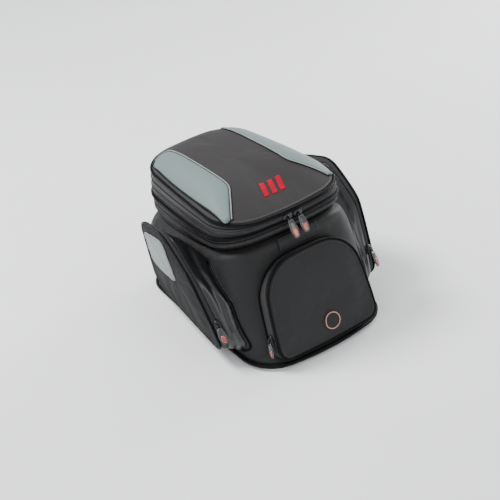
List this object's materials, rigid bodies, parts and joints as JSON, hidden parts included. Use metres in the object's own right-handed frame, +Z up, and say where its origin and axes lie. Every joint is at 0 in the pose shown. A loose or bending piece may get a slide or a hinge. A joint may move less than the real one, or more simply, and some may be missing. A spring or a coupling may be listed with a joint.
{
  "type": "motorcycle tank bag",
  "caption": "Soft motorcycle tank bag with a zipped lid on an expanding rim, an arched front pocket, wedge-shaped side pockets and a quick-lock base.",
  "frame": {"origin": "centre of the bag's footprint, on the plane that its base rests on", "axes": "+X to the rider's right, +Y forward to the steering head, -Y to the rider, +Z up"},
  "size_m": [0.3214, 0.3712, 0.2494],
  "materials": {
    "woven_nylon": "black woven nylon",
    "lid_nylon": "dark grey woven nylon",
    "coated_nylon": "black coated nylon, slightly glossy",
    "reflective_insert": "grey-green reflective cloth",
    "light_trim": "light grey reflective piping",
    "piping": "black covered cord piping",
    "zip_tape": "black zip tape with coil teeth",
    "slider_metal": "dark plated metal",
    "screw_steel": "steel",
    "pull_plastic": "clear plastic drop over a silver plate with a copper-red tip",
    "moulded_plastic": "black moulded plastic",
    "webbing": "black webbing",
    "emblem_thread": "red embroidery",
    "ring_copper": "copper-coloured embroidered ring"
  },
  "bodies": {
    "bag": {"base_tray": "moulded_plastic", "base_plate": "moulded_plastic", "lock_ring": "moulded_plastic", "lock_screw_1": "screw_steel", "lock_screw_2": "screw_steel", "lock_screw_3": "screw_steel", "front_panel": "woven_nylon", "side_panel_left": "woven_nylon", "side_panel_right": "woven_nylon", "rear_panel": "woven_nylon", "base_binding": "piping", "front_seam_piping_left": "piping", "front_seam_piping_right": "piping", "front_patch": "zip_tape", "rim_piping": "piping", "expansion_zip_lower": "zip_tape", "front_pocket_gusset": "zip_tape", "side_pocket_gusset_left": "coated_nylon", "side_pocket_gusset_right": "coated_nylon", "handle_anchor_left": "webbing", "handle_anchor_right": "webbing"},
    "upper_frame": {"expansion_zip_upper": "zip_tape", "middle_piping": "piping", "middle_band": "woven_nylon", "main_zip": "zip_tape", "lid_hinge_strip": "woven_nylon"},
    "lid": {"lid_shell": "lid_nylon", "lid_skirt": "lid_nylon", "lid_piping": "piping", "lid_mesh_pocket": "zip_tape", "lid_insert_left": "reflective_insert", "lid_insert_right": "reflective_insert", "lid_insert_piping_left": "light_trim", "lid_insert_piping_right": "light_trim", "lid_emblem": "emblem_thread"},
    "front_pocket": {"front_pocket_panel": "woven_nylon", "front_pocket_piping": "piping", "front_pocket_ring": "ring_copper"},
    "side_pocket_left": {"side_pocket_panel_left": "woven_nylon", "side_pocket_piping_left": "piping", "side_pocket_insert_left": "reflective_insert"},
    "side_pocket_right": {"side_pocket_panel_right": "woven_nylon", "side_pocket_piping_right": "piping", "side_pocket_insert_right": "reflective_insert"},
    "main_slider_left": {"main_slider_left": "slider_metal"},
    "main_slider_right": {"main_slider_right": "slider_metal"},
    "main_pull_left": {"main_pull_left": "pull_plastic"},
    "main_pull_right": {"main_pull_right": "pull_plastic"},
    "expansion_slider": {"expansion_slider": "slider_metal"},
    "expansion_pull": {"expansion_pull": "pull_plastic"},
    "front_pocket_slider": {"front_pocket_slider": "slider_metal"},
    "front_pocket_pull": {"front_pocket_pull": "pull_plastic"},
    "side_pocket_slider_left": {"side_pocket_slider_left": "slider_metal"},
    "side_pocket_slider_right": {"side_pocket_slider_right": "slider_metal"},
    "side_pocket_pull_left": {"side_pocket_pull_left": "pull_plastic"},
    "side_pocket_pull_right": {"side_pocket_pull_right": "pull_plastic"},
    "carry_handle": {"carry_handle": "webbing"},
    "release_latch": {"release_latch": "moulded_plastic", "release_strap": "webbing"}
  },
  "joints": [
    {"name": "expansion_lift", "type": "slide", "parent": "bag", "child": "upper_frame", "axis": [0, 0, 1], "range_m": [0, 0.045]},
    {"name": "lid_open", "type": "hinge", "parent": "upper_frame", "child": "lid", "pos_m": [0, 0.175, 0.1928], "axis": [-1, 0, 0], "range_deg": [0, 110]},
    {"name": "front_pocket_open", "type": "hinge", "parent": "bag", "child": "front_pocket", "pos_m": [0, -0.1845, 0.0135], "axis": [1, 0, 0], "range_deg": [0, 50]},
    {"name": "side_pocket_open_right", "type": "hinge", "parent": "bag", "child": "side_pocket_right", "pos_m": [0.1302, 0, 0.0225], "axis": [-0.1483, 0.9889, 0], "range_deg": [0, 35]},
    {"name": "side_pocket_open_left", "type": "hinge", "parent": "bag", "child": "side_pocket_left", "pos_m": [-0.1302, 0, 0.0225], "axis": [-0.1483, -0.9889, 0], "range_deg": [0, 35]},
    {"name": "main_zip_left", "type": "hinge", "parent": "upper_frame", "child": "main_slider_left", "pos_m": [0, 0.32599, 0.209], "axis": [0, 0, -1], "range_deg": [0, 6]},
    {"name": "main_zip_right", "type": "hinge", "parent": "upper_frame", "child": "main_slider_right", "pos_m": [0, 0.32599, 0.209], "axis": [0, 0, 1], "range_deg": [0, 7]},
    {"name": "main_pull_swing_left", "type": "hinge", "parent": "main_slider_left", "child": "main_pull_left", "pos_m": [-0.01416, -0.12358, 0.209], "axis": [-0.9995, 0.0315, 0], "range_deg": [0, 100]},
    {"name": "main_pull_swing_right", "type": "hinge", "parent": "main_slider_right", "child": "main_pull_right", "pos_m": [0.00405, -0.12378, 0.209], "axis": [-1, -0.009, 0], "range_deg": [0, 100]},
    {"name": "expansion_zip", "type": "slide", "parent": "bag", "child": "expansion_slider", "axis": [0.1044, -0.9903, 0.0915], "range_m": [0, 0.035]},
    {"name": "expansion_pull_swing", "type": "hinge", "parent": "expansion_slider", "child": "expansion_pull", "pos_m": [0.10134, 0.08635, 0.15748], "axis": [0.1044, -0.9903, 0.0915], "range_deg": [0, 110]},
    {"name": "front_pocket_zip", "type": "slide", "parent": "bag", "child": "front_pocket_slider", "axis": [0, 0.309, 0.9511], "range_m": [0, 0.05]},
    {"name": "front_pocket_pull_swing", "type": "hinge", "parent": "front_pocket_slider", "child": "front_pocket_pull", "pos_m": [-0.09598, -0.15907, 0.04888], "axis": [0, 0.9511, -0.309], "range_deg": [0, 110]},
    {"name": "side_pocket_zip_left", "type": "slide", "parent": "bag", "child": "side_pocket_slider_left", "axis": [-0.0998, 0.3777, 0.9205], "range_m": [0, 0.04]},
    {"name": "side_pocket_pull_swing_left", "type": "hinge", "parent": "side_pocket_slider_left", "child": "side_pocket_pull_left", "pos_m": [-0.14572, -0.10407, 0.07329], "axis": [-0.8941, 0.372, -0.2496], "range_deg": [0, 110]},
    {"name": "side_pocket_zip_right", "type": "slide", "parent": "bag", "child": "side_pocket_slider_right", "axis": [0.0998, 0.3777, 0.9205], "range_m": [0, 0.04]},
    {"name": "side_pocket_pull_swing_right", "type": "hinge", "parent": "side_pocket_slider_right", "child": "side_pocket_pull_right", "pos_m": [0.14572, -0.10407, 0.07329], "axis": [-0.8941, -0.372, 0.2496], "range_deg": [0, 110]},
    {"name": "carry_handle_swing", "type": "hinge", "parent": "bag", "child": "carry_handle", "pos_m": [0, 0.1825, 0.118], "axis": [1, 0, 0], "range_deg": [0, 100]},
    {"name": "release_latch_slide", "type": "slide", "parent": "bag", "child": "release_latch", "axis": [0, 1, 0], "range_m": [0, 0.006], "stiffness_N_per_m": 300}
  ]
}
